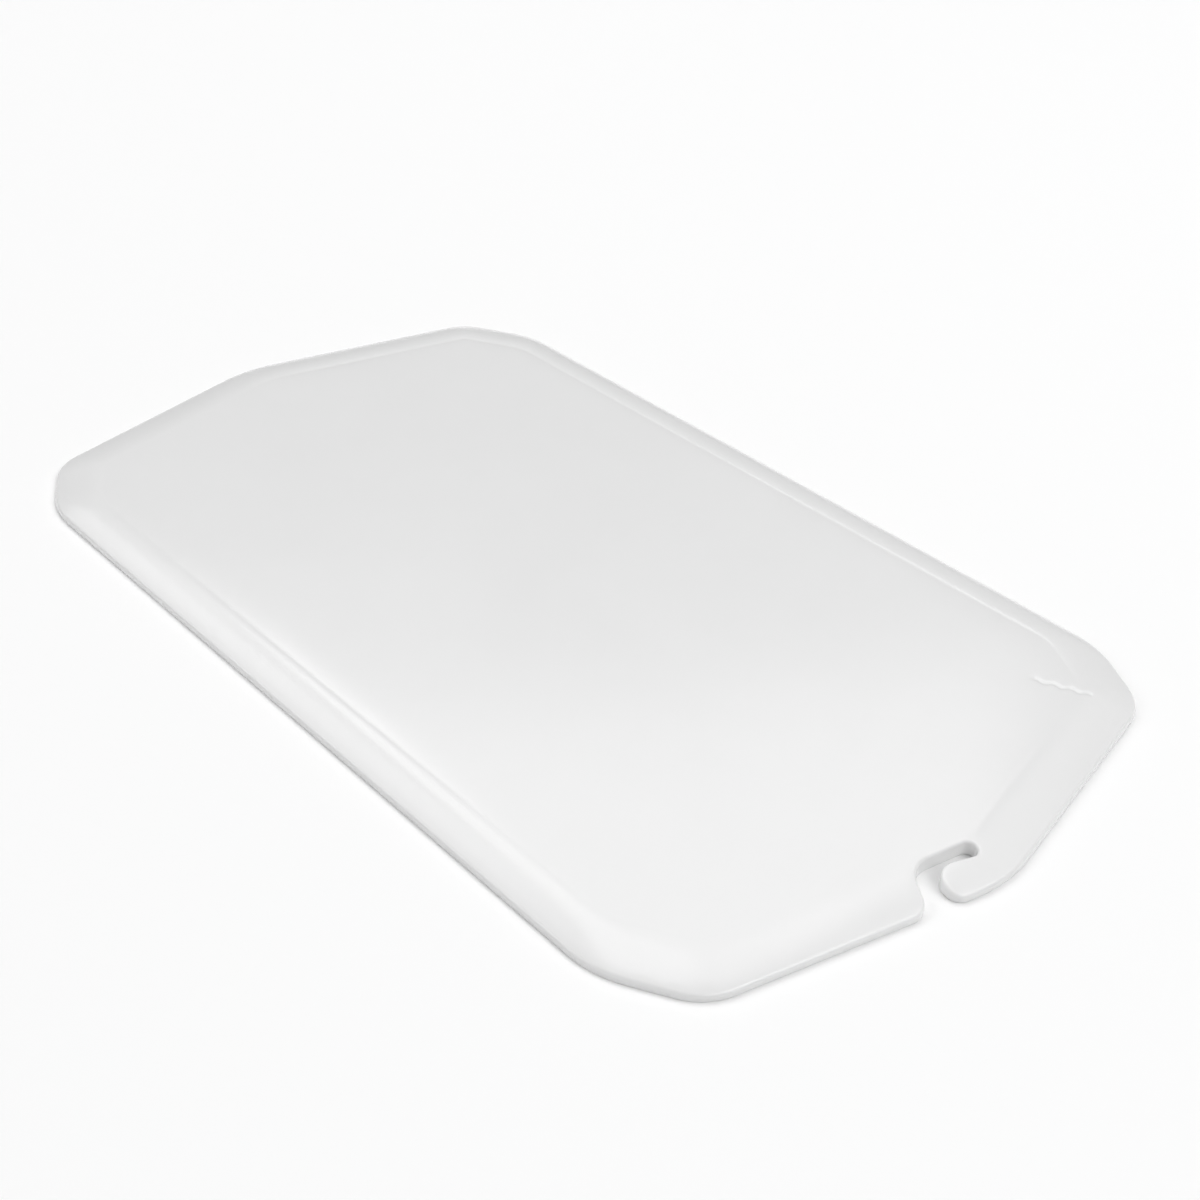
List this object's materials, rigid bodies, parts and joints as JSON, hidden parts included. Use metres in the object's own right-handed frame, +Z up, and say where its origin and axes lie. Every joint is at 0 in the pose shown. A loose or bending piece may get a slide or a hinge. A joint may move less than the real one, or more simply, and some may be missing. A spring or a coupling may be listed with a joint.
{
  "type": "cutting board",
  "caption": "Flat one-piece plastic cutting board with cut corners, shallow pointed ends, a border falling to a thin rim and a hooked hanging slot at the front.",
  "frame": {"origin": "centre of the flat underside, on the surface the board lies on", "axes": "+X across the board, +Y along it towards the end without the slot, +Z up out of the working face"},
  "size_m": [0.3, 0.524, 0.007],
  "materials": {
    "board_plastic": "glossy moulded, natural white, slightly translucent"
  },
  "bodies": {
    "root": {"board": "board_plastic"}
  },
  "joints": []
}
